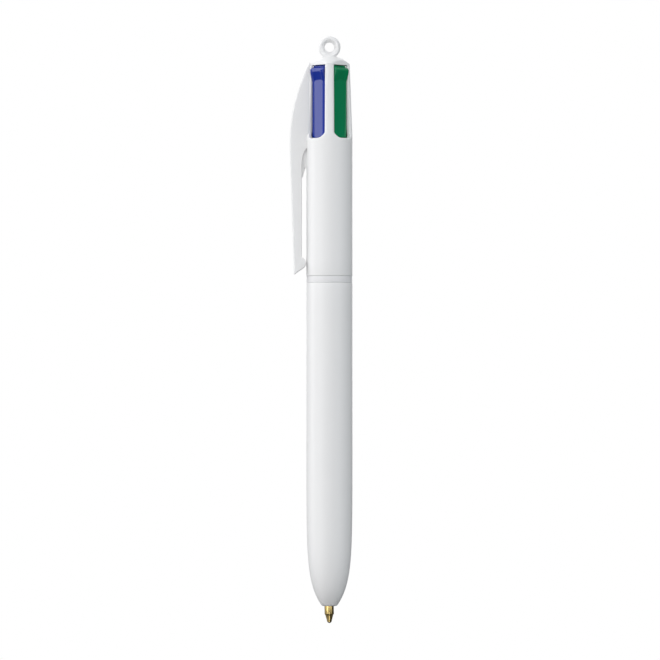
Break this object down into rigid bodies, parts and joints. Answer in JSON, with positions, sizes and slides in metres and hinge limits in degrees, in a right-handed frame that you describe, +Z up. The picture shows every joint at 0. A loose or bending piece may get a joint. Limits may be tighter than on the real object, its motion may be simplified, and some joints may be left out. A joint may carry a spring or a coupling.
{
  "type": "multicolor click pen",
  "caption": "Retractable multicolour ballpoint pen: slim round barrel with ogive nose, side sliders, sprung clip and lanyard ring, brass point out.",
  "frame": {"origin": "middle of the pen's box in plan, at the lowest point of the ball of the extended tip", "axes": "+Z up along the pen from the writing tip to the lanyard ring, -X towards the clip, +Y the lanyard hole's direction"},
  "size_m": [0.016, 0.0116, 0.149],
  "materials": {
    "white_plastic": "smooth moulded white, satin gloss",
    "collar_plastic": "white moulded, slightly duller",
    "blue_plastic": "glossy royal blue",
    "green_plastic": "glossy deep green",
    "red_plastic": "glossy red",
    "black_plastic": "glossy black",
    "spring_steel": "drawn spring wire",
    "tube_plastic": "translucent natural polypropylene",
    "blue_ink": "thick blue paste",
    "green_ink": "thick green paste",
    "red_ink": "thick red paste",
    "black_ink": "thick black paste",
    "brass": "turned brass",
    "ball_metal": "polished carbide ball"
  },
  "bodies": {
    "upper_body": {"upper_barrel": "white_plastic", "lanyard_ring": "white_plastic", "threaded_collar": "collar_plastic", "latch_core": "collar_plastic", "spring_blue": "spring_steel", "spring_green": "spring_steel", "spring_red": "spring_steel", "spring_black": "spring_steel"},
    "clip": {"clip_arm": "white_plastic"},
    "lower_body": {"lower_barrel": "white_plastic"},
    "blue_slider": {"slider_blue": "blue_plastic"},
    "green_slider": {"slider_green": "green_plastic"},
    "red_slider": {"slider_red": "red_plastic"},
    "black_slider": {"slider_black": "black_plastic"},
    "blue_refill": {"refill_tube_blue": "tube_plastic", "ink_blue": "blue_ink", "point_blue": "brass", "ball_blue": "ball_metal"},
    "green_refill": {"refill_tube_green": "tube_plastic", "ink_green": "green_ink", "point_green": "brass", "ball_green": "ball_metal"},
    "red_refill": {"refill_tube_red": "tube_plastic", "ink_red": "red_ink", "point_red": "brass", "ball_red": "ball_metal"},
    "black_refill": {"refill_tube_black": "tube_plastic", "ink_black": "black_ink", "point_black": "brass", "ball_black": "ball_metal"}
  },
  "joints": [
    {"name": "press_blue", "type": "slide", "parent": "upper_body", "child": "blue_slider", "axis": [0, 0, -1], "range_m": [0, 0.0105], "stiffness_N_per_m": 40, "springref_m": -0.012, "deforming": ["spring_blue"]},
    {"name": "press_green", "type": "slide", "parent": "upper_body", "child": "green_slider", "axis": [0, 0, -1], "range_m": [0, 0.0105], "stiffness_N_per_m": 40, "springref_m": -0.012, "deforming": ["spring_green"]},
    {"name": "press_red", "type": "slide", "parent": "upper_body", "child": "red_slider", "axis": [0, 0, -1], "range_m": [0, 0.0105], "stiffness_N_per_m": 40, "springref_m": -0.012, "deforming": ["spring_red"]},
    {"name": "press_black", "type": "slide", "parent": "upper_body", "child": "black_slider", "axis": [0, 0, -1], "range_m": [-0.0105, 0], "deforming": ["spring_black"]},
    {"name": "lean_blue", "type": "hinge", "parent": "blue_slider", "child": "blue_refill", "pos_m": [0.00017, -0.00194, 0.1079], "axis": [0.7071, -0.7071, 0], "range_deg": [0, 1.48], "deforming": ["refill_tube_blue", "ink_blue", "point_blue", "ball_blue"]},
    {"name": "lean_green", "type": "hinge", "parent": "green_slider", "child": "green_refill", "pos_m": [0.00406, -0.00194, 0.1079], "axis": [0.7071, 0.7071, 0], "range_deg": [0, 1.48], "deforming": ["refill_tube_green", "ink_green", "point_green", "ball_green"]},
    {"name": "lean_red", "type": "hinge", "parent": "red_slider", "child": "red_refill", "pos_m": [0.00406, 0.00194, 0.1079], "axis": [-0.7071, 0.7071, 0], "range_deg": [0, 1.48], "deforming": ["refill_tube_red", "ink_red", "point_red", "ball_red"]},
    {"name": "lean_black", "type": "hinge", "parent": "black_slider", "child": "black_refill", "pos_m": [0.00017, 0.00194, 0.0974], "axis": [-0.7071, -0.7071, 0], "range_deg": [-1.48, 0], "deforming": ["refill_tube_black", "ink_black", "point_black", "ball_black"]},
    {"name": "clip_bend", "type": "hinge", "parent": "upper_body", "child": "clip", "pos_m": [-0.00625, 0, 0.1104], "axis": [0, 1, 0], "range_deg": [0, 7], "stiffness_Nm_per_rad": 0.05},
    {"name": "unscrew_lower_barrel", "type": "slide", "parent": "upper_body", "child": "lower_body", "axis": [0, 0, -1], "range_m": [0, 0.09]}
  ],
  "couplings": [
    {"joint": "lean_blue", "follows": "press_blue", "rad_per_m": 2.4438},
    {"joint": "lean_green", "follows": "press_green", "rad_per_m": 2.4438},
    {"joint": "lean_red", "follows": "press_red", "rad_per_m": 2.4438},
    {"joint": "lean_black", "follows": "press_black", "rad_per_m": 2.4438}
  ]
}
